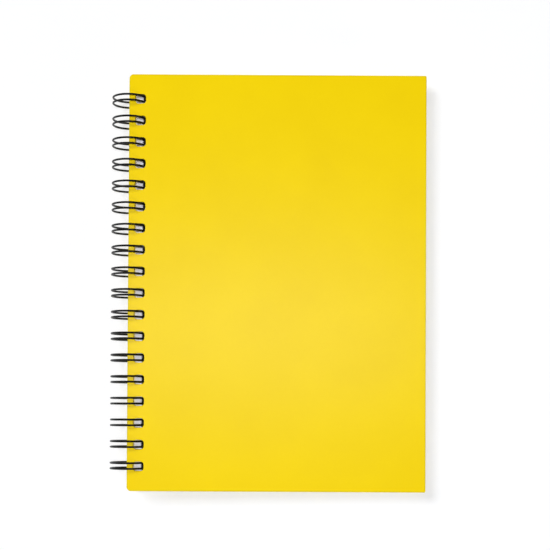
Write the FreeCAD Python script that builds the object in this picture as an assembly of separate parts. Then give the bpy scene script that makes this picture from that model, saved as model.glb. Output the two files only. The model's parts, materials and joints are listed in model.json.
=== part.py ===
import FreeCAD, Part
import math
import os

from FreeCAD import Vector

# A weekly planner: punched leaves between two hard covers, held by one twin-loop wire.
# Millimetres, +X from the spine to the fore edge, +Y from the tail to the head, +Z up.
# The pieces are made with the loops' axis on Y at X = 0, Z = 0 and the covers level, and are
# then leaned until the planner rests on its loops and on the back cover's fore edge.

# Hard covers: board, wrap turned in over its edges, endpaper pasted over the turn-ins
COVER_WIDTH = 175.0  # spine edge to fore edge
COVER_HEIGHT = 245.0  # tail to head
BOARD_THICKNESS = 2.0
WRAP_THICKNESS = 0.25
ENDPAPER_THICKNESS = 0.15
SPINE_CORNER_RADIUS = 2.5
FORE_CORNER_RADIUS = 0.8
WRAP_EDGE_BREAK = 0.3  # the wrap's fold over the board's edge
TURN_IN = 15.0
MITRE_SLIT = 0.2  # where two turn-ins meet at a corner
MITRE_START = 1.2  # along X and Y from the cover's edges
ENDPAPER_INSET = 3.0
ENDPAPER_SLOPE = 0.6  # the width over which the endpaper steps down off the turn-ins

# Leaves, as one block
LEAF_STACK = 5.3  # thickness where the wire holds them
TAIL_AND_HEAD_OVERHANG = 2.5
FORE_OVERHANG = 3.0
SPREAD_START = 15.0  # from the leaves' spine edge to where they begin to loosen
SPREAD_LENGTH = 46.0  # over which the highest leaves come up to the front cover

# Twin-loop wire
WIRE_DIAMETER = 1.2
TWIN_SPACING = 3.3  # between the two wires of a loop
LOOP_PITCH = 12.7
LOOP_END_MARGIN = 12.0  # least distance from the cover's end to the first loop
LOOP_PLAY = 2.95  # from the covers' outer faces to the inside of the loops
LINK_CORNER_RADIUS = 0.8  # where a wire turns along the spine to the next loop
CLOSING_GAP = 0.6  # between the loops' tips and the line of the links
WIRE_FLATS = 6  # the wire's section is drawn as a hexagon
CHORD_ANGLE = 24.0  # the largest turn between two straight stretches of a loop

# Punching and clearances
AXIS_SETBACK = 0.33  # from the loops' axis to the covers' spine edges
PUNCH_MARGIN = 3.6  # from a cover's or leaf's spine edge to its holes
PUNCH_CORNER = 0.75  # the covers' holes have their corners taken off
HOLE_SIDE_PLAY = 0.5  # wire to hole, along the spine
HOLE_FAR_PLAY = 0.5  # wire to the far end of a cover's hole
LEAF_HOLE_PLAY = 0.25  # wire to the near end of a leaf's hole
SEAM_CLEARANCE = 0.45  # links to the front cover
LEAF_CLEARANCE = 0.2  # links to the highest leaf

# Heights from the loops' axis
half_inside = (LEAF_STACK + SEAM_CLEARANCE + WIRE_DIAMETER + LEAF_CLEARANCE) / 2
turn_in_face = half_inside + ENDPAPER_THICKNESS
board_inner_face = turn_in_face + WRAP_THICKNESS
board_outer_face = board_inner_face + BOARD_THICKNESS
half_outside = board_outer_face + WRAP_THICKNESS

# Loops
loop_inner_radius = half_outside + LOOP_PLAY
loop_radius = loop_inner_radius + WIRE_DIAMETER / 2
loop_outer_radius = loop_inner_radius + WIRE_DIAMETER
loop_count = 1 + int((COVER_HEIGHT - 2 * LOOP_END_MARGIN) / LOOP_PITCH)
loop_places = [LOOP_PITCH * (i - (loop_count - 1) / 2) for i in range(loop_count)]

# Places along X
cover_spine_edge = AXIS_SETBACK
cover_fore_edge = cover_spine_edge + COVER_WIDTH
cover_hole_near = cover_spine_edge + PUNCH_MARGIN
cover_hole_far = math.sqrt(loop_outer_radius**2 - half_inside**2) + HOLE_FAR_PLAY
leaf_hole_near = math.sqrt(loop_inner_radius**2 - half_inside**2) - LEAF_HOLE_PLAY
leaf_hole_far = leaf_hole_near + cover_hole_far - cover_hole_near
leaf_spine_edge = leaf_hole_near - PUNCH_MARGIN
leaf_fore_edge = cover_fore_edge - FORE_OVERHANG
hole_half_width = (TWIN_SPACING + WIRE_DIAMETER) / 2 + HOLE_SIDE_PLAY
leaf_half_height = COVER_HEIGHT / 2 - TAIL_AND_HEAD_OVERHANG


def prism(outline, bottom, top):
    """A closed outline of (x, y) corners, raised from bottom to top."""
    corners = [Vector(x, y, bottom) for x, y in outline]
    face = Part.Face(Part.makePolygon(corners + corners[:1]))
    return face.extrude(Vector(0, 0, top - bottom))


def rectangle(inset):
    """The cover's outline, taken in by inset, with square corners."""
    near, far = cover_spine_edge + inset, cover_fore_edge - inset
    end = COVER_HEIGHT / 2 - inset
    return [(near, -end), (far, -end), (far, end), (near, end)]


def corner_edges(slab, at_spine):
    """The slab's upright edges, at the spine or at the fore edge."""
    middle = (cover_spine_edge + cover_fore_edge) / 2
    upright = [e for e in slab.Edges if abs(e.tangentAt(e.FirstParameter).z) > 0.9]
    return [e for e in upright if (e.CenterOfMass.x < middle) == at_spine]


def cover_plate(inset, bottom, top):
    """A slab of the cover's outline, taken in by inset, with the cover's rounded corners."""
    slab = prism(rectangle(inset), bottom, top)
    slab = slab.makeFillet(SPINE_CORNER_RADIUS - inset, corner_edges(slab, True))
    return slab.makeFillet(FORE_CORNER_RADIUS - inset, corner_edges(slab, False))


def cover_punch():
    """What the punch takes out of a cover: one hole for each loop."""
    near, far, side, corner = cover_hole_near, cover_hole_far, hole_half_width, PUNCH_CORNER
    holes = []
    for y in loop_places:
        outline = [
            (near + corner, y - side),
            (far - corner, y - side),
            (far, y - side + corner),
            (far, y + side - corner),
            (far - corner, y + side),
            (near + corner, y + side),
            (near, y + side - corner),
            (near, y - side + corner),
        ]
        holes.append(prism(outline, half_inside - 1, half_outside + 1))
    return Part.makeCompound(holes)


def mitre_slits():
    """The slits between neighbouring turn-ins, from the window's corners towards the cover's."""
    slits = []
    for x, step_x in ((cover_spine_edge, 1), (cover_fore_edge, -1)):
        for y, step_y in ((-COVER_HEIGHT / 2, 1), (COVER_HEIGHT / 2, -1)):
            along = Vector(step_x, step_y, 0)
            across = Vector(-step_y, step_x, 0).normalize() * (MITRE_SLIT / 2)
            start = Vector(x, y, 0) + along * MITRE_START
            end = Vector(x, y, 0) + along * (TURN_IN + MITRE_SLIT)
            outline = [start - across, end - across, end + across, start + across]
            slits.append(prism([(p.x, p.y) for p in outline], half_inside, board_inner_face))
    return Part.makeCompound(slits)


def front_board(punch):
    return cover_plate(WRAP_THICKNESS, board_inner_face, board_outer_face).cut(punch)


def front_wrap(punch):
    wrap = cover_plate(0, turn_in_face, half_outside)
    rims = [e for e in wrap.Edges if abs(e.tangentAt(e.FirstParameter).z) < 0.1]
    wrap = wrap.makeChamfer(WRAP_EDGE_BREAK, rims)
    wrap = wrap.cut(cover_plate(WRAP_THICKNESS, board_inner_face, board_outer_face))
    wrap = wrap.cut(prism(rectangle(TURN_IN), half_inside, board_inner_face + WRAP_THICKNESS / 2))
    return wrap.cut(mitre_slits()).cut(punch)


def front_endpaper(punch):
    sheet = prism(rectangle(ENDPAPER_INSET), half_inside, board_inner_face)
    window = prism(rectangle(TURN_IN), turn_in_face, board_inner_face)
    turn_ins = prism(rectangle(ENDPAPER_INSET), turn_in_face, board_inner_face).cut(window)
    low, high = half_inside, half_inside + WRAP_THICKNESS
    hollow_rims = []
    for inset, z in ((TURN_IN + ENDPAPER_THICKNESS / 2, low), (TURN_IN + ENDPAPER_SLOPE, high)):
        corners = [Vector(x, y, z) for x, y in rectangle(inset)]
        hollow_rims.append(Part.makePolygon(corners + corners[:1]))
    hollow = Part.makeLoft(hollow_rims, True, True)
    return sheet.cut(turn_ins).cut(hollow).cut(punch)


def page_block():
    """The leaves: flat below, pressed down under the wire's links and loosening towards the fore edge."""
    pressed = LEAF_STACK - half_inside
    spread_near = leaf_spine_edge + SPREAD_START
    spread_far = spread_near + SPREAD_LENGTH
    rise = half_inside - pressed
    bend_radius = (SPREAD_LENGTH**2 + rise**2) / (4 * rise)
    quarter = SPREAD_LENGTH / 4
    sagitta = bend_radius - math.sqrt(bend_radius**2 - quarter**2)

    def at(x, z):
        return Vector(x, -leaf_half_height, z)

    middle = at(spread_near + SPREAD_LENGTH / 2, pressed + rise / 2)
    lower_bend = Part.Arc(at(spread_near, pressed), at(spread_near + quarter, pressed + sagitta), middle)
    upper_bend = Part.Arc(middle, at(spread_far - quarter, half_inside - sagitta), at(spread_far, half_inside))
    straight = [
        at(spread_far, half_inside),
        at(leaf_fore_edge, half_inside),
        at(leaf_fore_edge, -half_inside),
        at(leaf_spine_edge, -half_inside),
        at(leaf_spine_edge, pressed),
        at(spread_near, pressed),
    ]
    edges = [Part.LineSegment(a, b).toShape() for a, b in zip(straight, straight[1:])]
    section = Part.Face(Part.Wire([lower_bend.toShape(), upper_bend.toShape()] + edges))
    block = section.extrude(Vector(0, 2 * leaf_half_height, 0))
    holes = []
    for y in loop_places:
        near, far, side = leaf_hole_near, leaf_hole_far, hole_half_width
        outline = [(near, y - side), (far, y - side), (far, y + side), (near, y + side)]
        holes.append(prism(outline, -half_outside, half_outside))
    return block.cut(Part.makeCompound(holes))


def wire_path():
    """The one wire's line, from loop to loop along the spine. It goes down through the leaves and
    round under the spine, over the front cover to the loop's tip in its hole, and back again. The
    links from loop to loop lie just inside the front cover, below the tips."""
    link_height = half_inside - SEAM_CLEARANCE - WIRE_DIAMETER / 2
    foot = math.asin(link_height / math.hypot(loop_radius, LINK_CORNER_RADIUS))
    foot -= math.atan2(LINK_CORNER_RADIUS, loop_radius)
    tip_radius = TWIN_SPACING / 2
    unwound = (LINK_CORNER_RADIUS + CLOSING_GAP + tip_radius) / loop_radius
    sweep = 2 * math.pi - unwound
    chords = math.ceil(sweep / math.radians(CHORD_ANGLE))
    half_chord = sweep / chords / 2
    corner_radius = 2 * loop_radius / (1 + math.cos(half_chord))
    along = Vector(0, 1, 0)

    def on_loop(angle, y):
        return Vector(corner_radius * math.cos(angle), y, corner_radius * math.sin(angle))

    def uphill(angle):
        return Vector(-math.sin(angle), 0, math.cos(angle))

    def link_corner(y, step, turn):
        sideways = along * (step * LINK_CORNER_RADIUS * (1 - math.cos(turn)))
        return on_loop(foot, y) + sideways + uphill(foot) * (LINK_CORNER_RADIUS * math.sin(turn))

    angles = [foot - sweep * i / chords for i in range(chords + 1)]
    path = []
    for y in loop_places:
        first, second = y - tip_radius, y + tip_radius
        path.append(link_corner(first, -1, math.pi / 2))
        path.append(link_corner(first, -1, math.pi / 4))
        path += [on_loop(angle, first) for angle in angles]
        for turn in (3 * math.pi / 4, math.pi / 2, math.pi / 4):
            rounding = along * math.cos(turn) - uphill(angles[-1]) * math.sin(turn)
            path.append(on_loop(angles[-1], y) + rounding * tip_radius)
        path += [on_loop(angle, second) for angle in reversed(angles)]
        path.append(link_corner(second, 1, math.pi / 4))
        path.append(link_corner(second, 1, math.pi / 2))
    return path


def wire_binding():
    """The wire as straight stretches that meet in mitres, each side of a stretch one flat face."""
    path = wire_path()
    runs = [(end - start).normalize() for start, end in zip(path, path[1:])]
    across = runs[0].cross(Vector(0, 1, 0)).normalize()
    upright = across.cross(runs[0])
    section = []
    for i in range(WIRE_FLATS):
        turn = 2 * math.pi * i / WIRE_FLATS
        outwards = upright * math.cos(turn) + across * math.sin(turn)
        section.append(path[0] + outwards * (WIRE_DIAMETER / 2))
    sections = [section]
    for i, corner in enumerate(path[1:]):
        into = runs[i]
        facing = into + runs[min(i + 1, len(runs) - 1)]
        section = [p + into * ((corner - p).dot(facing) / into.dot(facing)) for p in section]
        sections.append(section)

    def flat(corners):
        return Part.Face(Part.makePolygon(corners + corners[:1]))

    faces = [flat(sections[0]), flat(sections[-1])]
    for start, end in zip(sections, sections[1:]):
        for i in range(WIRE_FLATS):
            k = (i + 1) % WIRE_FLATS
            faces.append(flat([start[i], start[k], end[k], end[i]]))
    return Part.Solid(Part.Shell(faces))


def under_side(shape):
    """The back cover's piece that answers to one of the front cover's."""
    return shape.mirror(Vector(0, 0, 0), Vector(0, 0, 1))


def settle(pieces):
    """Lean the planner onto its fore edge, and stand it on Z = 0, centred on X and Y."""
    loops_reach = -pieces["wire_binding"].BoundBox.ZMin
    cover_reach = math.hypot(cover_fore_edge, half_outside)
    lean = math.asin(loops_reach / cover_reach) - math.atan2(half_outside, cover_fore_edge)
    for piece in pieces.values():
        piece.rotate(Vector(0, 0, 0), Vector(0, 1, 0), math.degrees(lean))
    box = Part.makeCompound(list(pieces.values())).BoundBox
    move = Vector(-box.Center.x, -box.Center.y, -box.ZMin)
    for piece in pieces.values():
        piece.translate(move)
    print(f"loops' axis at X {move.x:.4f}, Z {move.z:.4f}; lean {math.degrees(lean):.4f} degrees")


punch = cover_punch()
front = {"board": front_board(punch), "wrap": front_wrap(punch), "endpaper": front_endpaper(punch)}
pieces = {"page_block": page_block(), "wire_binding": wire_binding()}
for name, shape in front.items():
    pieces[f"front_{name}"] = shape
    pieces[f"back_{name}"] = under_side(shape)
settle(pieces)
os.makedirs("parts", exist_ok=True)
for name, shape in pieces.items():
    shape.exportStep(f"parts/{name}.step")
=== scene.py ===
import json
import math
import random

import bmesh
import bpy
from mathutils import Matrix, Vector


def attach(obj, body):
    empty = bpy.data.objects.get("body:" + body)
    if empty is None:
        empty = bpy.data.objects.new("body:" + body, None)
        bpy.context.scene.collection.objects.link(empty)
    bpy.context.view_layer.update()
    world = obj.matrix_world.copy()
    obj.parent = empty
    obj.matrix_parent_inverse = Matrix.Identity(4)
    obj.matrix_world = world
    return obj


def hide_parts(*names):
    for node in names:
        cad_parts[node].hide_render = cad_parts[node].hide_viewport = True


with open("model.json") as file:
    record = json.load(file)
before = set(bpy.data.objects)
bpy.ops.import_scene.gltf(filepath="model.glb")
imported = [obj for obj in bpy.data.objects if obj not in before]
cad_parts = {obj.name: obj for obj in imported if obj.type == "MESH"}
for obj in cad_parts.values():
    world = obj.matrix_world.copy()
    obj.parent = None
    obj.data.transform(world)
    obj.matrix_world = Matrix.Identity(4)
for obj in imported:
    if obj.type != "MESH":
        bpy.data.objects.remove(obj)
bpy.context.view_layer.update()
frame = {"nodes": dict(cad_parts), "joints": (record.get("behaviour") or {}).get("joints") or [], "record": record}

# ---------------------------------------------------------------------------------------------
# Greyboards
# The stiff core of each hard cover: 2 mm greyboard, die-cut, with one punched hole for each
# loop. The wraps hide the boards, apart from the walls of the holes.
# ---------------------------------------------------------------------------------------------

# Every piece is made level, in millimetres, with the axis of the wire's loops on Y through the
# origin, and is then leaned onto its fore edge. The hinges give the axis, and the back cover's
# outside face gives the lean.
millimetre = 0.001  # in metres
axis_point = Vector(frame["joints"][0]["pos_m"])
underside = frame["record"]["mounts"][0]["axis"]
lean = math.atan2(-underside[0], -underside[2])
resting_place = (
    Matrix.Translation(axis_point)
    @ Matrix.Rotation(lean, 4, "Y")
    @ Matrix.Scale(millimetre, 4)
)
sharp_angle = math.radians(32)  # an edge that turns by more than this is drawn crisp
touching = 1e-4  # heights that differ by less than this are the same
overrun = 1.0  # how far a tool runs on past the sheet that it cuts


def level_box(node):
    """A frame node's lowest and highest corners in the level planner."""
    level = resting_place.inverted()
    corners = [level @ v.co for v in frame["nodes"][node].data.vertices]
    return [[pick(c[i] for c in corners) for i in range(3)] for pick in (min, max)]


def as_object(name, shape):
    """Puts a bmesh, or ready-made data such as a curve or a lamp, in the scene."""
    data = shape
    if isinstance(shape, bmesh.types.BMesh):
        data = bpy.data.meshes.new(name)
        shape.to_mesh(data)
        shape.free()
    piece = bpy.data.objects.new(name, data)
    bpy.context.scene.collection.objects.link(piece)
    return piece


def set_in_place(piece, body, node, finishes):
    """Leans a level piece to where it rests, gives it its finishes and its body, and hides its node in the frame.
    """
    piece.data.transform(resting_place)
    for finish in finishes:
        piece.data.materials.append(finish)
    piece.data.shade_smooth()
    piece.data.set_sharp_from_angle(angle=sharp_angle)
    even = piece.modifiers.new("even shading", "WEIGHTED_NORMAL")
    even.keep_sharp = True
    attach(piece, body)
    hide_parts(node)


def linear(hex_colour):
    """An sRGB hex colour as the linear colour that a shader takes."""
    channels = [int(hex_colour[i : i + 2], 16) / 255 for i in (1, 3, 5)]
    return [c / 12.92 if c <= 0.04045 else ((c + 0.055) / 1.055) ** 2.4 for c in channels] + [1.0]


def add_node(tree, kind, sockets=None, **settings):
    """Adds a node, sets its properties, and links or sets each of its sockets."""
    node = tree.nodes.new(kind)
    for name, value in settings.items():
        setattr(node, name, value)
    for key, value in (sockets or {}).items():
        if isinstance(value, bpy.types.NodeSocket):
            tree.links.new(value, node.inputs[key])
        else:
            node.inputs[key].default_value = value
    return node


def start_finish(name, sockets):
    """A material with its shader, and the millimetres of the level planner for its patterns."""
    finish = bpy.data.materials.new(name)
    finish.use_nodes = True
    tree = finish.node_tree
    tree.nodes.clear()
    shader = add_node(tree, "ShaderNodeBsdfPrincipled", sockets)
    add_node(tree, "ShaderNodeOutputMaterial", {"Surface": shader.outputs["BSDF"]})
    coordinates = add_node(tree, "ShaderNodeTexCoord")
    level = add_node(
        tree,
        "ShaderNodeMapping",
        {
            "Vector": coordinates.outputs["Object"],
            "Location": axis_point,
            "Rotation": (0, lean, 0),
            "Scale": (millimetre, millimetre, millimetre),
        },
        vector_type="TEXTURE",
    )
    return finish, tree, shader, level.outputs["Vector"]


loop_pitch, loop_count = 12.7, 18
loop_places = [loop_pitch * (i - (loop_count - 1) / 2) for i in range(loop_count)]
cover_low, cover_high = level_box("front_wrap")
board_low, board_high = level_box("front_board")
wrap_sheet = board_low[0] - cover_low[0]
spine_corner, fore_corner = 2.5, 0.8  # radii of the finished cover's corners
board_corners = (spine_corner - wrap_sheet, fore_corner - wrap_sheet)
corner_steps = 8
cover_hole = {  # near and far are measured from the cover's spine edge
    "near": 3.6,
    "far": 9.91,
    "half_width": 2.75,
    "corner": 1.85,
    "steps": 6,
}


def block(low, high):
    """A square-cornered block between two opposite corners."""
    bm = bmesh.new()
    size = [b - a for a, b in zip(low, high)]
    middle = [(a + b) / 2 for a, b in zip(low, high)]
    place = Matrix.Translation(middle) @ Matrix.Diagonal((*size, 1))
    bmesh.ops.create_cube(bm, size=1.0, matrix=place)
    return bm


def round_off(bm, edges, radius, steps):
    """Rounds some of a shape's edges."""
    bmesh.ops.bevel(
        bm, geom=edges, offset=radius, segments=steps, profile=0.5, affect="EDGES", material=-1
    )


def slab(low, high, spine_radius, fore_radius):
    """A block with its upright edges rounded at the spine and at the fore edge."""
    bm = block(low, high)
    middle, height = (low[0] + high[0]) / 2, high[2] - low[2]
    for radius, at_spine in ((spine_radius, True), (fore_radius, False)):
        upright = [
            e
            for e in bm.edges
            if abs(e.verts[0].co.z - e.verts[1].co.z) > height / 2
            and (e.verts[0].co.x < middle) == at_spine
        ]
        round_off(bm, upright, radius, corner_steps)
    return bm


def punches(spine_edge, hole, bottom, top, shoulder=0.0):
    """The punches for one sheet, one for each loop. A shoulder rounds the hole's upper rim."""
    bm = bmesh.new()
    size = (hole["far"] - hole["near"], 2 * hole["half_width"], top - bottom - shoulder)
    x = spine_edge + (hole["near"] + hole["far"]) / 2
    for y in loop_places:
        place = Matrix.Translation((x, y, bottom + size[2] / 2)) @ Matrix.Diagonal((*size, 1))
        corners = bmesh.ops.create_cube(bm, size=1.0, matrix=place)["verts"]
        upright = [
            e for v in corners for e in v.link_edges if e.other_vert(v).co.z > v.co.z + touching
        ]
        round_off(bm, upright, hole["corner"], hole["steps"])
    shoulder_steps = 3 if shoulder else 0
    for step in range(shoulder_steps):
        before, turn = (math.pi / 2 * i / shoulder_steps for i in (step, step + 1))
        wider = shoulder * (math.cos(before) - math.cos(turn))
        higher = shoulder * (math.sin(turn) - math.sin(before))
        peak = max(v.co.z for v in bm.verts)
        lids = [f for f in bm.faces if all(v.co.z > peak - touching for v in f.verts)]
        for lid in lids:
            centre = lid.calc_center_bounds()
            raised = bmesh.ops.extrude_face_region(bm, geom=[lid])["geom"]
            rim = [v for v in raised if isinstance(v, bmesh.types.BMVert)]
            reach = [max(abs(v.co[i] - centre[i]) for v in rim) for i in (0, 1)]
            grow = (1 + wider / reach[0], 1 + wider / reach[1], 1)
            bmesh.ops.scale(bm, vec=grow, verts=rim, space=Matrix.Translation(-centre))
            bmesh.ops.translate(bm, vec=(0, 0, higher), verts=rim)
        bmesh.ops.delete(bm, geom=lids, context="FACES_ONLY")
    return bm


def cut_away(piece, tool):
    """Takes a tool's closed shapes out of a piece."""
    cutter = as_object("cutter", tool)
    cut = piece.modifiers.new("cut", "BOOLEAN")
    cut.operation = "DIFFERENCE"
    cut.solver = "EXACT"
    cut.object = cutter
    done = piece.evaluated_get(bpy.context.evaluated_depsgraph_get())
    piece.data = bpy.data.meshes.new_from_object(done)
    piece.modifiers.clear()
    bpy.data.objects.remove(cutter)


def turn_over(piece):
    """The back cover's piece that answers to one of the front cover's."""
    other = bmesh.new()
    other.from_mesh(piece.data)
    bmesh.ops.scale(other, vec=(1, 1, -1), verts=other.verts)
    bmesh.ops.reverse_faces(other, faces=other.faces)
    return as_object(piece.name.replace("front", "back"), other)


# Greyboard: waste paper pressed into board, so a warm grey with darker fibres and a rough cut
# that doesn't shine.
fibre_length, fibre_depth = 0.35, 0.2  # here and in every finish, in millimetres
greyboard, tree, shader, place = start_finish(
    "greyboard", {"Roughness": 0.95, "Specular IOR Level": 0.2}
)
fibres = add_node(
    tree,
    "ShaderNodeTexNoise",
    {
        "Vector": place,
        "Scale": 1 / fibre_length,
        "Detail": 5.0,
        "Roughness": 0.7,
        "Distortion": 0.8,
    },
)
greys = add_node(tree, "ShaderNodeValToRGB", {"Fac": fibres.outputs["Fac"]})
for stop, position, grey in zip(greys.color_ramp.elements, (0.3, 0.72), ("#6B6358", "#A79E8E")):
    stop.position = position
    stop.color = linear(grey)
tree.links.new(greys.outputs["Color"], shader.inputs["Base Color"])
torn = add_node(
    tree,
    "ShaderNodeBump",
    {"Height": fibres.outputs["Fac"], "Strength": 0.5, "Distance": fibre_depth * millimetre},
)
tree.links.new(torn.outputs["Normal"], shader.inputs["Normal"])

board = as_object("front_greyboard", slab(board_low, board_high, *board_corners))
cut_away(board, punches(cover_low[0], cover_hole, board_low[2] - overrun, board_high[2] + overrun))
back_board = turn_over(board)
set_in_place(board, "front_cover", "front_board", [greyboard])
set_in_place(back_board, "back_cover", "back_board", [greyboard])

# ---------------------------------------------------------------------------------------------
# Cover wraps
# One sheet of yellow laminated cover paper for each cover, glued over the board's outside and
# four edges and turned in with mitred corners. It is punched with the board, which draws it
# down a little round each hole.
# ---------------------------------------------------------------------------------------------
turn_in = 15.0
mitre_start = 1.2  # from the corner, which stays whole where it is folded
mitre_slit = 0.2
fold_radius = 0.55  # outside, where the sheet folds over the board's upper edge
inner_fold_radius = 0.3
fold_steps = 5
drawn_rim = 0.16
breakthrough = 0.001  # how far the punch's shoulder comes out of the face


def round_rim(bm, height, radius):
    """Rounds the edges that lie at one height."""
    rim = [e for e in bm.edges if all(abs(v.co.z - height) < touching for v in e.verts)]
    round_off(bm, rim, radius, fold_steps)


def inset_block(inset, bottom, top):
    """A square-cornered block of the cover's outline, taken in by inset."""
    return block(
        [cover_low[0] + inset, cover_low[1] + inset, bottom],
        [cover_high[0] - inset, cover_high[1] - inset, top],
    )


def mitres():
    """The slits between neighbouring turn-ins, from the cover's corners to the window's."""
    bm = bmesh.new()
    end = turn_in + mitre_slit
    reach = (mitre_start + end) / 2
    height = 2 * (board_low[2] - cover_low[2])
    size = Matrix.Diagonal(((end - mitre_start) * math.sqrt(2), mitre_slit, height, 1))
    for x, along_x in ((cover_low[0], 1), (cover_high[0], -1)):
        for y, along_y in ((cover_low[1], 1), (cover_high[1], -1)):
            middle = (x + along_x * reach, y + along_y * reach, board_low[2] - height / 2)
            turned = Matrix.Rotation(math.radians(45 * along_x * along_y), 4, "Z")
            place = Matrix.Translation(middle) @ turned @ size
            bmesh.ops.create_cube(bm, size=1.0, matrix=place)
    return bm


# Matt-laminated cover paper: one strong yellow under a thin satin film, with a fine tooth that
# breaks up the highlight, and broad faint clouds where the glue holds it more or less flat. A
# band along the board's edges is painted a shade greener and deeper: painted shade on the folds.
cloud_size, speck_size, tooth_size = 42, 1.6, 0.28
cloud_depth, tooth_depth = 2.0, 0.04
cloud_share, speck_share = 0.8, 0.2  # of the change from one yellow to the other
# how far in from the cover's edges the painted edge shade reaches
edge_shade_width = 1.3
cover_paper, tree, shader, place = start_finish(
    "laminated cover paper", {"Roughness": 0.28, "Specular IOR Level": 0.22}
)
clouds, specks, tooth = (
    add_node(
        tree,
        "ShaderNodeTexNoise",
        {"Vector": place, "Scale": 1 / size, "Detail": detail, "Roughness": roughness},
    ).outputs["Fac"]
    for size, detail, roughness in (
        (cloud_size, 3.0, 0.55),
        (speck_size, 2.0, 0.6),
        (tooth_size, 3.0, 0.6),
    )
)
cloud_part = add_node(tree, "ShaderNodeMath", {0: clouds, 1: cloud_share}, operation="MULTIPLY")
blend = add_node(
    tree,
    "ShaderNodeMath",
    {0: specks, 1: speck_share, 2: cloud_part.outputs[0]},
    operation="MULTIPLY_ADD",
)
yellows = add_node(tree, "ShaderNodeValToRGB", {"Fac": blend.outputs[0]})
for stop, position, yellow in zip(yellows.color_ramp.elements, (0.3, 0.7), ("#EECD00", "#F3D300")):
    stop.position = position
    stop.color = linear(yellow)
cover_middle = [(a + b) / 2 for a, b in zip(cover_low, cover_high)]
unshaded_half = [(b - a) / 2 - edge_shade_width for a, b in zip(cover_low, cover_high)]
from_middle = add_node(
    tree, "ShaderNodeVectorMath", {0: place, 1: (*cover_middle[:2], 0)}, operation="SUBTRACT"
)
either_side = add_node(
    tree, "ShaderNodeVectorMath", {0: from_middle.outputs[0]}, operation="ABSOLUTE"
)
past_plain = add_node(
    tree,
    "ShaderNodeVectorMath",
    {0: either_side.outputs[0], 1: (*unshaded_half[:2], 0)},
    operation="SUBTRACT",
)
past_sides = add_node(tree, "ShaderNodeSeparateXYZ", {"Vector": past_plain.outputs[0]})
nearest_side = add_node(
    tree,
    "ShaderNodeMath",
    {0: past_sides.outputs["X"], 1: past_sides.outputs["Y"]},
    operation="MAXIMUM",
)
# Painted shade: one at the cover's edges, falling to none a band's width inside them.
rim = add_node(
    tree,
    "ShaderNodeMapRange",
    {"Value": nearest_side.outputs[0], "From Max": edge_shade_width},
    interpolation_type="SMOOTHSTEP",
)
# The cover's yellow, with the painted edge shade, a deeper greener yellow, mixed in towards the edges.
yellow_with_edge_shade = add_node(
    tree,
    "ShaderNodeMix",
    {0: rim.outputs[0], 6: yellows.outputs["Color"], 7: linear("#E1CB00")},
    data_type="RGBA",
)
tree.links.new(yellow_with_edge_shade.outputs[2], shader.inputs["Base Color"])
ripple = add_node(
    tree,
    "ShaderNodeBump",
    {"Height": clouds, "Strength": 0.05, "Distance": cloud_depth * millimetre},
)
grain = add_node(
    tree,
    "ShaderNodeBump",
    {
        "Height": tooth,
        "Strength": 0.22,
        "Distance": tooth_depth * millimetre,
        "Normal": ripple.outputs["Normal"],
    },
)
tree.links.new(grain.outputs["Normal"], shader.inputs["Normal"])

wrap_shape = slab(cover_low, cover_high, spine_corner, fore_corner)
round_rim(wrap_shape, cover_high[2], fold_radius)
round_rim(wrap_shape, cover_low[2], inner_fold_radius)
wrap = as_object("front_cover_wrap", wrap_shape)
wrap_bottom = cover_low[2] - overrun
cut_away(wrap, slab(board_low, board_high, *board_corners))
cut_away(wrap, inset_block(turn_in, wrap_bottom, board_low[2] + wrap_sheet / 2))
cut_away(wrap, mitres())
cut_away(
    wrap, punches(cover_low[0], cover_hole, wrap_bottom, cover_high[2] + breakthrough, drawn_rim)
)
back_wrap = turn_over(wrap)
set_in_place(wrap, "front_cover", "front_wrap", [cover_paper])
set_in_place(back_wrap, "back_cover", "back_wrap", [cover_paper])

# ---------------------------------------------------------------------------------------------
# Endpapers
# An off-white sheet pasted inside each cover, 3 mm short of its edges. It lies over the
# turn-ins, whose step shows through it as a soft ridge, and is punched with the cover.
# ---------------------------------------------------------------------------------------------
endpaper_inset = 3.0
step_width = 0.6
sheet_low = level_box("front_endpaper")[0]


def whole(bm):
    """All of a shape's vertices, edges and faces."""
    return list(bm.verts) + list(bm.edges) + list(bm.faces)


# Uncoated endpaper: an even off-white with short fibres that only just show, and no shine.
pulp_size, felt_depth = 1.2, 0.1
endpaper, tree, shader, place = start_finish(
    "uncoated endpaper", {"Roughness": 0.85, "Specular IOR Level": 0.25}
)
pulp = add_node(
    tree,
    "ShaderNodeTexNoise",
    {"Vector": place, "Scale": 1 / pulp_size, "Detail": 4.0, "Distortion": 1.5},
)
creams = add_node(tree, "ShaderNodeValToRGB", {"Fac": pulp.outputs["Fac"]})
for stop, position, cream in zip(creams.color_ramp.elements, (0.3, 0.7), ("#E9E6DC", "#F1EEE6")):
    stop.position = position
    stop.color = linear(cream)
tree.links.new(creams.outputs["Color"], shader.inputs["Base Color"])
felt = add_node(
    tree,
    "ShaderNodeBump",
    {"Height": pulp.outputs["Fac"], "Strength": 0.3, "Distance": felt_depth * millimetre},
)
tree.links.new(felt.outputs["Normal"], shader.inputs["Normal"])

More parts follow.
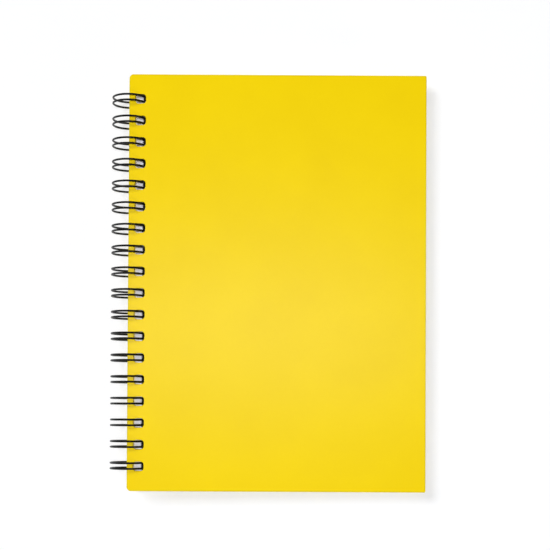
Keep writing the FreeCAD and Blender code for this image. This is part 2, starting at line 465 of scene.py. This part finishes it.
sheet_shape = inset_block(endpaper_inset, sheet_low[2], cover_low[2])
for inset in (turn_in, turn_in + step_width):
    for axis in (0, 1):
        for edge in (cover_low[axis] + inset, cover_high[axis] - inset):
            point = [edge if i == axis else 0 for i in range(3)]
            across = [1 if i == axis else 0 for i in range(3)]
            bmesh.ops.bisect_plane(
                sheet_shape, geom=whole(sheet_shape), plane_co=point, plane_no=across
            )
for v in sheet_shape.verts:
    inwards = min(min(v.co[i] - cover_low[i], cover_high[i] - v.co[i]) for i in (0, 1))
    if inwards > turn_in + step_width / 2:
        v.co.z += wrap_sheet
sheet = as_object("front_inside_sheet", sheet_shape)
cut_away(sheet, punches(cover_low[0], cover_hole, sheet_low[2] - overrun, board_low[2] + overrun))
back_sheet = turn_over(sheet)
set_in_place(sheet, "front_cover", "front_endpaper", [endpaper])
set_in_place(back_sheet, "back_cover", "back_endpaper", [endpaper])

# ---------------------------------------------------------------------------------------------
# Leaves
# Fifty-three leaves of 90 g offset paper, punched in a row and threaded loose on the wire. Its
# links press them down at the spine, and towards the fore edge the upper ones rise to the front
# cover. The outer sides carry a plain ruled week.
# ---------------------------------------------------------------------------------------------
leaf_count = 53
leaf_thickness = 0.085
leaf_corner = 0.05
leaf_shift = 0.12  # how far a leaf strays from the stack's edges
tight_stack = 5.3  # the stack's height where the links press it
bend_start, bend_length, bend_steps = 15.0, 46.0, 12
stack_low, stack_high = level_box("page_block")
leaf_hole = {**cover_hole, "corner": 0.45, "steps": 2}


def top_of_stack(x):
    """The stack's height: pressed down at the spine, and up to the front cover further out."""
    along = min(max((x - stack_low[0] - bend_start) / bend_length, 0), 1)
    rise = 2 * along**2 if along < 0.5 else 1 - 2 * (1 - along) ** 2
    pressed = stack_low[2] + tight_stack
    return pressed + (stack_high[2] - pressed) * rise


# Offset paper: white and matt, a trace cool, with a soft cloudiness from the pulp.
leaf_cloud_size = 2.5
leaf_finish = {"Roughness": 0.8, "Specular IOR Level": 0.3}
leaf_paper, tree, shader, place = start_finish("offset paper", leaf_finish)
pulp = add_node(
    tree, "ShaderNodeTexNoise", {"Vector": place, "Scale": 1 / leaf_cloud_size, "Detail": 4.0}
)
whites = add_node(tree, "ShaderNodeValToRGB", {"Fac": pulp.outputs["Fac"]})
for stop, position, white in zip(whites.color_ramp.elements, (0.35, 0.65), ("#E9E8F3", "#F3F2FB")):
    stop.position = position
    stop.color = linear(white)
tree.links.new(whites.outputs["Color"], shader.inputs["Base Color"])

# The same paper with a printed week: seven ruled fields, a tinted heading and a small tinted
# square for each day, in flat grey and pale yellow ink that sinks into the sheet.
printed_leaf, tree, shader, place = start_finish("printed offset paper", leaf_finish)
near_margin, far_margin = 16, 9
page_near, page_far = stack_low[0] + near_margin, stack_high[0] - far_margin
day_count, day_height, lines_in_day = 7, 29.0, 4
days_low = -110.0
days_high = days_low + day_count * day_height
line_width, rule_width = 0.18, 0.4
square_near, square_far = page_near + 1.5, page_near + 11.5
square_low, square_high = 17.5, 27.5  # above the foot of its day
divider, writing_near = page_near + 14, page_near + 16
heading_low, heading_high = days_high + 3, days_high + 11
across_and_up = add_node(tree, "ShaderNodeSeparateXYZ", {"Vector": place})
x_mm, y_mm = across_and_up.outputs["X"], across_and_up.outputs["Y"]
above = add_node(tree, "ShaderNodeMath", {0: y_mm, 1: -days_low}, operation="ADD").outputs[0]
in_day, to_line, to_rule = (
    add_node(tree, "ShaderNodeMath", {0: above, 1: spacing}, operation=repeat).outputs[0]
    for repeat, spacing in (
        ("FLOORED_MODULO", day_height),
        ("PINGPONG", day_height / lines_in_day / 2),
        ("PINGPONG", day_height / 2),
    )
)
bands = {
    "page": (x_mm, page_near, page_far),
    "days": (y_mm, days_low - rule_width / 2, days_high + rule_width / 2),
    "writing": (x_mm, writing_near, page_far),
    "line": (to_line, -line_width / 2, line_width / 2),
    "rule": (to_rule, -rule_width / 2, rule_width / 2),
    "divider": (x_mm, divider - rule_width / 2, divider + rule_width / 2),
    "square across": (x_mm, square_near, square_far),
    "square up": (in_day, square_low, square_high),
    "heading": (y_mm, heading_low, heading_high),
}
inside = {  # one where the value lies in the band, and zero elsewhere
    name: add_node(
        tree,
        "ShaderNodeMath",
        {0: value, 1: (low + high) / 2, 2: (high - low) / 2},
        operation="COMPARE",
    ).outputs[0]
    for name, (value, low, high) in bands.items()
}
inks = (
    ("#C9CBD2", ("days", "writing", "line")),
    ("#FBE58A", ("days", "square across", "square up")),
    ("#FBE58A", ("heading",)),
    ("#8D9099", ("days", "rule")),
    ("#8D9099", ("days", "divider")),
)
page = linear("#F4F3FC")
for ink, names in inks:
    where = inside["page"]
    for name in names:
        where = add_node(
            tree, "ShaderNodeMath", {0: where, 1: inside[name]}, operation="MULTIPLY"
        ).outputs[0]
    printed = add_node(tree, "ShaderNodeMix", {0: where, 6: page, 7: linear(ink)}, data_type="RGBA")
    page = printed.outputs[2]
tree.links.new(page, shader.inputs["Base Color"])

leaf = as_object(
    "one_leaf",
    slab([*stack_low[:2], 0], [*stack_high[:2], leaf_thickness], leaf_corner, leaf_corner),
)
cut_away(leaf, punches(stack_low[0], leaf_hole, -overrun, leaf_thickness + overrun))
stack_shape = bmesh.new()
stack_shape.from_mesh(leaf.data)
bpy.data.objects.remove(leaf)
for i in range(bend_steps + 1):
    x = stack_low[0] + bend_start + bend_length * i / bend_steps
    bmesh.ops.bisect_plane(
        stack_shape, geom=whole(stack_shape), plane_co=(x, 0, 0), plane_no=(1, 0, 0)
    )
one_leaf = whole(stack_shape)
stray = random.Random(7)
for i in range(leaf_count):
    copy = bmesh.ops.duplicate(stack_shape, geom=one_leaf)["geom"]
    aside, along = stray.uniform(-leaf_shift, 0), stray.uniform(-leaf_shift, leaf_shift)
    for v in (g for g in copy if isinstance(g, bmesh.types.BMVert)):
        room = top_of_stack(v.co.x) - stack_low[2] - leaf_thickness
        v.co.z += stack_low[2] + room * i / (leaf_count - 1)
        v.co.x += aside
        v.co.y += along
    for f in (g for g in copy if isinstance(g, bmesh.types.BMFace)):
        on_top = i == leaf_count - 1 and f.normal.z > 0.9
        underneath = i == 0 and f.normal.z < -0.9
        f.material_index = 1 if on_top or underneath else 0
bmesh.ops.delete(stack_shape, geom=one_leaf, context="VERTS")
leaves = as_object("leaf_stack", stack_shape)
set_in_place(leaves, "leaves_and_wire", "page_block", [leaf_paper, printed_leaf])

# ---------------------------------------------------------------------------------------------
# Twin-loop wire
# One steel wire, 1.2 mm thick and coated black, bent into eighteen double loops that lean a
# little, each by its own amount. They are pressed shut, so that their rounded tips sit in the
# front cover's holes, just above the links from loop to loop.
# ---------------------------------------------------------------------------------------------
wire_radius = 0.6
loop_radius = 9.775
tip_radius = 1.65  # half the space between a loop's two wires
link_corner = 0.8
link_clearance = 0.45  # under the front endpaper
link_height = sheet_low[2] - link_clearance - wire_radius
closing_gap = 0.6
round_steps, link_steps, tip_steps = 54, 6, 10
usual_lean, lean_spread = 0.42, 0.03  # of the loops' tops, towards the head
unequal = random.Random(3)
loop_lean = [usual_lean + unequal.uniform(-lean_spread, lean_spread) for _ in loop_places]
link_turn = math.atan2(link_corner, loop_radius)
foot = math.asin(link_height / math.hypot(loop_radius, link_corner)) - link_turn
sweep = 2 * math.pi - (link_corner + closing_gap + tip_radius) / loop_radius


def on_loop(angle, y):
    """A point at one angle round the loop that stands at y or beside it."""
    top_lean = loop_lean[int(y / loop_pitch + loop_count / 2)]
    sine, cosine = math.sin(angle), math.cos(angle)
    return Vector((loop_radius * cosine, y + top_lean * sine, loop_radius * sine))


def uphill(angle):
    """The direction round a loop in which the angle grows."""
    return Vector((-math.sin(angle), 0, math.cos(angle)))


def link_bend(y, side, turn):
    """A point of the small bend between a loop's wire and the link on its side of the loop."""
    sideways = Vector((0, side * link_corner * (1 - math.cos(turn)), 0))
    return on_loop(foot, y) + sideways + uphill(foot) * (link_corner * math.sin(turn))


def wire_line():
    """The wire's line: along a link, round a loop to its tip, back, and along the next link."""
    angles = [foot - sweep * i / round_steps for i in range(round_steps + 1)]
    end = angles[-1]
    line = []
    for y in loop_places:
        for i in range(link_steps, 0, -1):
            line.append(link_bend(y - tip_radius, -1, math.pi / 2 * i / link_steps))
        line += [on_loop(angle, y - tip_radius) for angle in angles]
        for i in range(1, tip_steps):
            turn = math.pi * (1 - i / tip_steps)
            rounding = Vector((0, math.cos(turn), 0)) - uphill(end) * math.sin(turn)
            line.append(on_loop(end, y) + rounding * tip_radius)
        line += [on_loop(angle, y + tip_radius) for angle in reversed(angles)]
        for i in range(1, link_steps + 1):
            line.append(link_bend(y + tip_radius, 1, math.pi / 2 * i / link_steps))
    return line


# Nylon-coated steel wire: deep black with a satin film that keeps a thin highlight along each
# round, and a faint unevenness where the coating was drawn on.
coating_size, coating_depth = 0.9, 0.1
coated_wire, tree, shader, place = start_finish(
    "nylon-coated wire", {"Roughness": 0.4, "Specular IOR Level": 0.4}
)
film = add_node(
    tree, "ShaderNodeTexNoise", {"Vector": place, "Scale": 1 / coating_size, "Detail": 2.0}
)
blacks = add_node(tree, "ShaderNodeValToRGB", {"Fac": film.outputs["Fac"]})
for stop, black in zip(blacks.color_ramp.elements, ("#080809", "#121214")):
    stop.color = linear(black)
tree.links.new(blacks.outputs["Color"], shader.inputs["Base Color"])
drawn = add_node(
    tree,
    "ShaderNodeBump",
    {"Height": film.outputs["Fac"], "Strength": 0.2, "Distance": coating_depth * millimetre},
)
tree.links.new(drawn.outputs["Normal"], shader.inputs["Normal"])

wire_curve = bpy.data.curves.new("wire_line", "CURVE")
wire_curve.dimensions = "3D"
wire_curve.bevel_depth = wire_radius
wire_curve.bevel_resolution = 4
wire_curve.use_fill_caps = True
line = wire_line()
spline = wire_curve.splines.new("POLY")
spline.points.add(len(line) - 1)
for point, on_line in zip(spline.points, line):
    point.co = (*on_line, 1)
bare_line = as_object("wire_line", wire_curve)
drawn_line = bare_line.evaluated_get(bpy.context.evaluated_depsgraph_get())
wire = as_object("twin_loop_wire", bpy.data.meshes.new_from_object(drawn_line))
bpy.data.objects.remove(bare_line)
set_in_place(wire, "leaves_and_wire", "wire_binding", [coated_wire])

# ---------------------------------------------------------------------------------------------
# Floor, light and camera
# A white studio table, one large soft key lamp up to the left of the planner's head, a panel
# and a strip overhead, and low fills past the tail and the fore edge. The camera looks down on
# the cover from above its tail half.
# ---------------------------------------------------------------------------------------------
floor_shape = bmesh.new()
bmesh.ops.create_grid(floor_shape, x_segments=1, y_segments=1, size=6.0)
floor = as_object("studio_table", floor_shape)

# White table: a plain dull white. What looks at it straight, through something or in a gloss
# sees it lifted towards full white: a little round the planner, which keeps its shadow pale,
# most of the way at the spine, and fully far out.
table_white = bpy.data.materials.new("white table")
table_white.use_nodes = True
tree = table_white.node_tree
tree.nodes.clear()
table_lift, spine_lift = 0.28, 0.66
lift_start, lift_end = 0.4, 1.0  # metres from the planner's middle
spine_start, spine_end = -0.03, -0.085  # metres along X
dull = add_node(tree, "ShaderNodeBsdfDiffuse", {"Color": linear("#FBFCFF")})
full = add_node(tree, "ShaderNodeEmission", {"Color": (1, 1, 1, 1), "Strength": 1.0})
coordinates = add_node(tree, "ShaderNodeTexCoord").outputs["Object"]
from_planner = add_node(tree, "ShaderNodeVectorMath", {0: coordinates}, operation="LENGTH")
along_table = add_node(tree, "ShaderNodeSeparateXYZ", {"Vector": coordinates})
lift_far_out, lift_at_spine = (
    add_node(
        tree,
        "ShaderNodeMapRange",
        {"Value": value, "From Min": start, "From Max": end, "To Min": least, "To Max": most},
        interpolation_type="SMOOTHSTEP",
    ).outputs[0]
    for value, start, end, least, most in (
        (from_planner.outputs["Value"], lift_start, lift_end, table_lift, 1.0),
        (along_table.outputs["X"], spine_start, spine_end, 0.0, spine_lift),
    )
)
lift = add_node(tree, "ShaderNodeMath", {0: lift_far_out, 1: lift_at_spine}, operation="MAXIMUM")
lifted = add_node(
    tree, "ShaderNodeMixShader", {0: lift.outputs[0], 1: dull.outputs[0], 2: full.outputs[0]}
)
rays = add_node(tree, "ShaderNodeLightPath").outputs
straight_or_gloss = add_node(
    tree,
    "ShaderNodeMath",
    {0: rays["Is Camera Ray"], 1: rays["Is Glossy Ray"]},
    operation="MAXIMUM",
)
looked_at = add_node(
    tree,
    "ShaderNodeMath",
    {0: straight_or_gloss.outputs[0], 1: rays["Is Transmission Ray"]},
    operation="MAXIMUM",
)
surface = add_node(
    tree,
    "ShaderNodeMixShader",
    {0: looked_at.outputs[0], 1: dull.outputs[0], 2: lifted.outputs[0]},
)
add_node(tree, "ShaderNodeOutputMaterial", {"Surface": surface.outputs[0]})
floor.data.materials.append(table_white)

# The room: even light from all round, and plain white to what looks at it straight or through
# something. A gloss sees only the even light, which keeps a haze off the covers.
room = bpy.data.worlds.new("studio")
bpy.context.scene.world = room
room.use_nodes = True
tree = room.node_tree
tree.nodes.clear()
room_light = 0.07
rays = add_node(tree, "ShaderNodeLightPath").outputs
seen = add_node(
    tree,
    "ShaderNodeMath",
    {0: rays["Is Camera Ray"], 1: rays["Is Transmission Ray"]},
    operation="MAXIMUM",
)
strength = add_node(
    tree, "ShaderNodeMix", {0: seen.outputs[0], 2: room_light, 3: 1.0}, data_type="FLOAT"
)
white_room = add_node(
    tree, "ShaderNodeBackground", {"Color": (1, 1, 1, 1), "Strength": strength.outputs[0]}
)
add_node(tree, "ShaderNodeOutputWorld", {"Surface": white_room.outputs[0]})

# Rectangular lamps that all face the planner. Only the overhead strip shows in a gloss.
for name, place, size, watts, in_gloss in (
    ("key lamp", (-3.1, 2.6, 4.95), (2.6, 2.4), 200.0, False),
    ("overhead panel", (0.0, 0.0, 2.5), (0.3, 0.3), 25.0, False),
    ("overhead strip", (-0.01, 0.01, 1.3), (0.62, 0.14), 2.4, True),
    ("tail fill", (0.0, -0.45, 0.55), (0.5, 0.2), 0.35, False),
    ("fore-edge fill", (1.6, -1.25, 0.22), (1.2, 0.3), 12.0, False),
):
    panel = bpy.data.lights.new(name, "AREA")
    panel.shape = "RECTANGLE"
    panel.size, panel.size_y = size
    panel.energy = watts
    lamp = as_object(name, panel)
    facing = Vector((0, 0, 1)).rotation_difference(Vector(place)).to_matrix().to_4x4()
    lamp.matrix_world = Matrix.Translation(place) @ facing
    lamp.visible_camera = False
    lamp.visible_glossy = in_gloss

camera_data = bpy.data.cameras.new("camera")
camera_data.sensor_width = 36.0
camera_data.lens = 78.79
camera_data.shift_y = 0.12
camera_place = (0.0197, -0.0464, 0.72)
camera_pitch, camera_roll = 1.0, 0.3  # degrees: towards the head, and round the line of sight
camera_yaw = math.degrees(lean) - 0.09  # the view stays square to the leaning cover
facing = Matrix.Identity(4)
for axis_name, degrees in (("Z", camera_roll), ("Y", camera_yaw), ("X", camera_pitch)):
    facing = facing @ Matrix.Rotation(math.radians(degrees), 4, axis_name)
camera = as_object("camera", camera_data)
camera.matrix_world = Matrix.Translation(camera_place) @ facing
bpy.context.scene.camera = camera
bpy.context.scene.view_settings.view_transform = "Standard"
